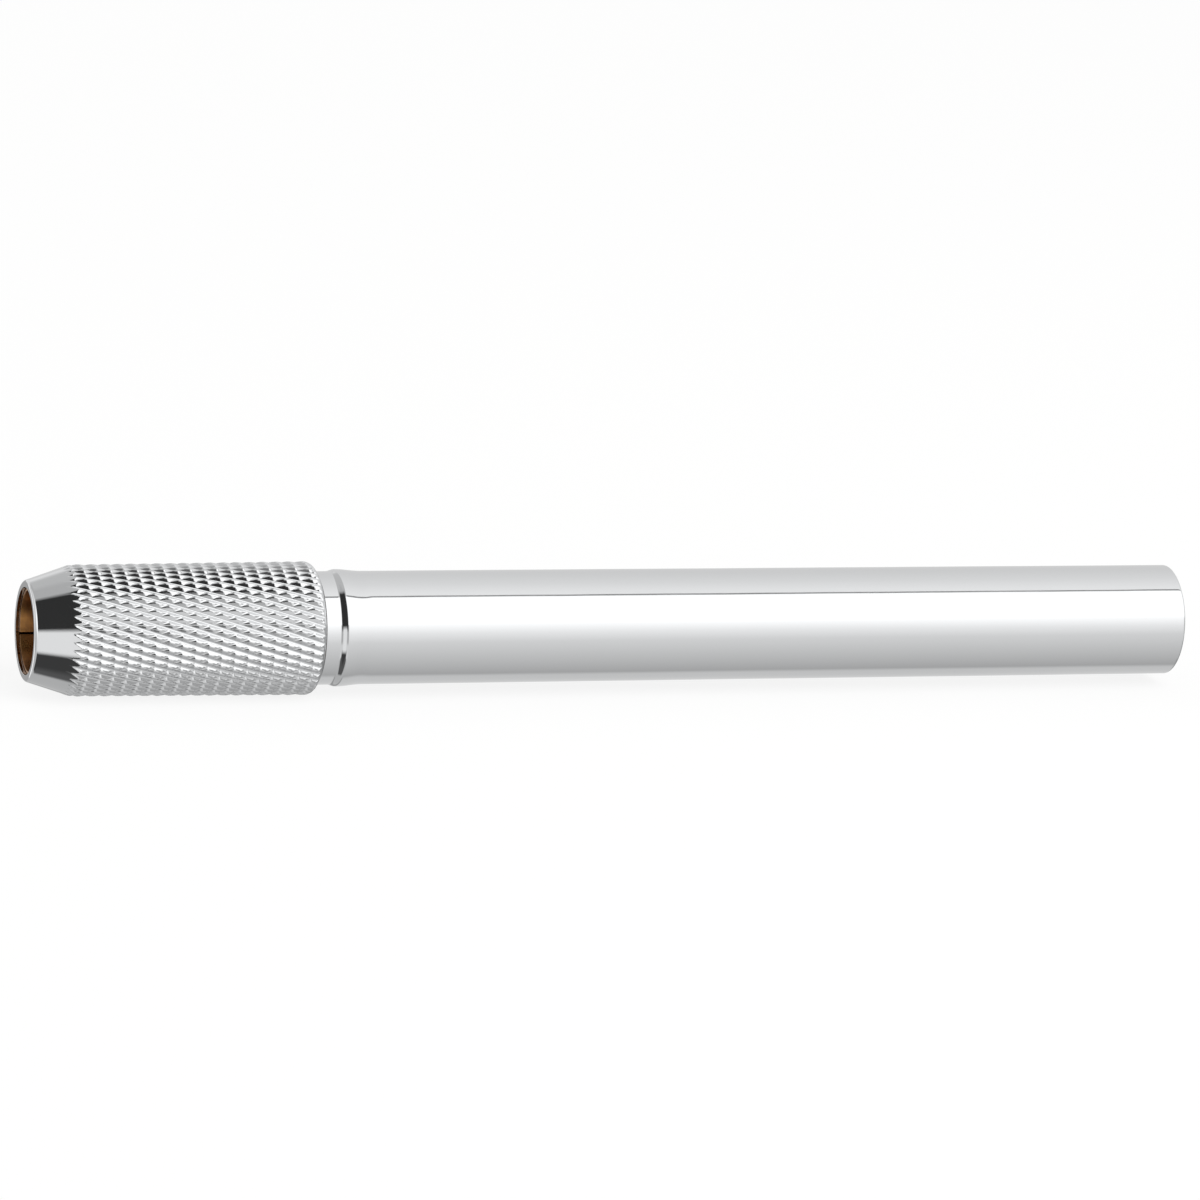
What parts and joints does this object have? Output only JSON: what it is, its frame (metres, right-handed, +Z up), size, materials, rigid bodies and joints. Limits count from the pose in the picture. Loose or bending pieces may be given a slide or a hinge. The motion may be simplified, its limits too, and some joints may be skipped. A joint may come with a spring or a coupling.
{
  "type": "pencil extender",
  "caption": "Plated tube that lengthens a pencil stub: turning its knurled collar moves a split brass collet into an inner taper, which closes the jaws on the pencil.",
  "frame": {"origin": "centre of the mouth, on the axis, in the plane of the nose rim", "axes": "+X runs along the axis from the mouth to the tail, +Z is up as it lies in the picture, and -Y faces the viewer"},
  "size_m": [0.115, 0.0126, 0.0126],
  "materials": {
    "chrome_plate": "bright polished plating",
    "brass": "bare turned brass, slightly tarnished",
    "steel": "ground pin"
  },
  "bodies": {
    "barrel": {"barrel_tube": "chrome_plate", "tail_plug": "chrome_plate", "neck_bush": "brass", "key_pin": "steel"},
    "collar": {"knurled_collar": "chrome_plate"},
    "collet": {"collet_sleeve": "brass"},
    "jaw_tf": {"jaw_top_front": "brass"},
    "jaw_tb": {"jaw_top_back": "brass"},
    "jaw_bf": {"jaw_bottom_front": "brass"},
    "jaw_bb": {"jaw_bottom_back": "brass"}
  },
  "joints": [
    {"name": "collar_turn", "type": "hinge", "parent": "barrel", "child": "collar", "pos_m": [0.0255, 0, 0], "axis": [1, 0, 0], "range_deg": [-540, 0]},
    {"name": "collet_slide", "type": "slide", "parent": "barrel", "child": "collet", "axis": [1, 0, 0], "range_m": [0, 0.00112]},
    {"name": "jaw_top_front_open", "type": "hinge", "parent": "collet", "child": "jaw_tf", "pos_m": [0.0139, -0.0018, 0.00369], "axis": [0, 0.8988, 0.4384], "range_deg": [0, 1.46]},
    {"name": "jaw_top_back_open", "type": "hinge", "parent": "collet", "child": "jaw_tb", "pos_m": [0.0139, 0.00369, 0.0018], "axis": [0, 0.4384, -0.8988], "range_deg": [0, 1.46]},
    {"name": "jaw_bottom_front_open", "type": "hinge", "parent": "collet", "child": "jaw_bf", "pos_m": [0.0139, -0.00369, -0.0018], "axis": [0, -0.4384, 0.8988], "range_deg": [0, 1.46]},
    {"name": "jaw_bottom_back_open", "type": "hinge", "parent": "collet", "child": "jaw_bb", "pos_m": [0.0139, 0.0018, -0.00369], "axis": [0, -0.8988, -0.4384], "range_deg": [0, 1.46]}
  ],
  "couplings": [
    {"joint": "collet_slide", "follows": "collar_turn", "m_per_rad": -0.00011936},
    {"joint": "jaw_top_front_open", "follows": "collar_turn", "ratio": -0.002694},
    {"joint": "jaw_top_back_open", "follows": "collar_turn", "ratio": -0.002694},
    {"joint": "jaw_bottom_front_open", "follows": "collar_turn", "ratio": -0.002694},
    {"joint": "jaw_bottom_back_open", "follows": "collar_turn", "ratio": -0.002694}
  ]
}
